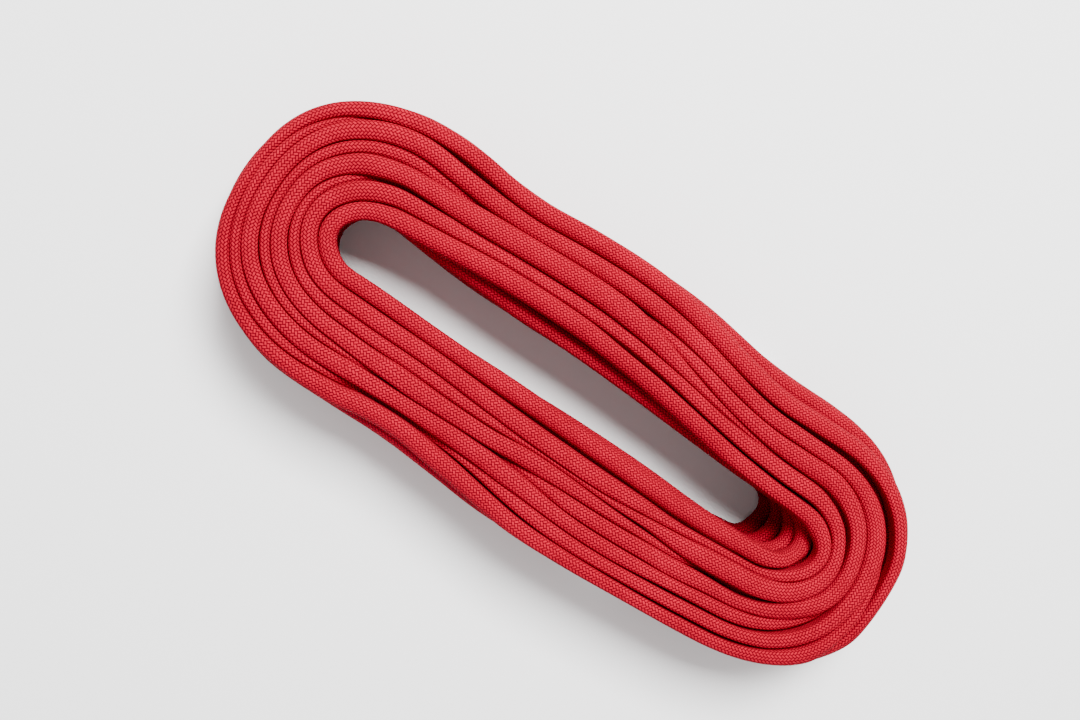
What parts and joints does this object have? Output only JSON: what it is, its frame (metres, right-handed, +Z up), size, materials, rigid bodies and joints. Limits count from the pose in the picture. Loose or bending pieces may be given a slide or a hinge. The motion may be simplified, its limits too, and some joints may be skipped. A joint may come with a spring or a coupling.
{
  "type": "dynamic climbing rope",
  "caption": "Kernmantle dynamic climbing rope with a red braided sheath, wound in a flat oblong coil, its sleeved and melted ends tucked along the foot of the long sides",
  "frame": {"origin": "on the ground, under the middle of the coil", "axes": "+X along the coil's long axis, +Y across it, +Z up out of the flat coil"},
  "size_m": [0.396, 0.152, 0.064],
  "materials": {
    "sheath": "braided nylon sheath yarn, red, slight sheen",
    "core": "twisted white nylon yarn",
    "label": "plain matt band, no text",
    "sleeve": "clear heat-shrunk tube",
    "tip": "melted nylon, dark red"
  },
  "bodies": {
    "root": {"rope_turns": "sheath", "sheath_end_a": "sheath", "core_strand_a_1": "core", "core_strand_a_2": "core", "core_strand_a_3": "core", "core_strand_a_4": "core", "core_strand_a_5": "core", "core_strand_a_6": "core", "core_strand_a_7": "core", "core_strand_a_8": "core", "length_label_a": "label", "shrink_sleeve_a": "sleeve", "melted_tip_a": "tip", "sheath_end_b": "sheath", "core_strand_b_1": "core", "core_strand_b_2": "core", "core_strand_b_3": "core", "core_strand_b_4": "core", "core_strand_b_5": "core", "core_strand_b_6": "core", "core_strand_b_7": "core", "core_strand_b_8": "core", "length_label_b": "label", "shrink_sleeve_b": "sleeve", "melted_tip_b": "tip"}
  },
  "joints": []
}
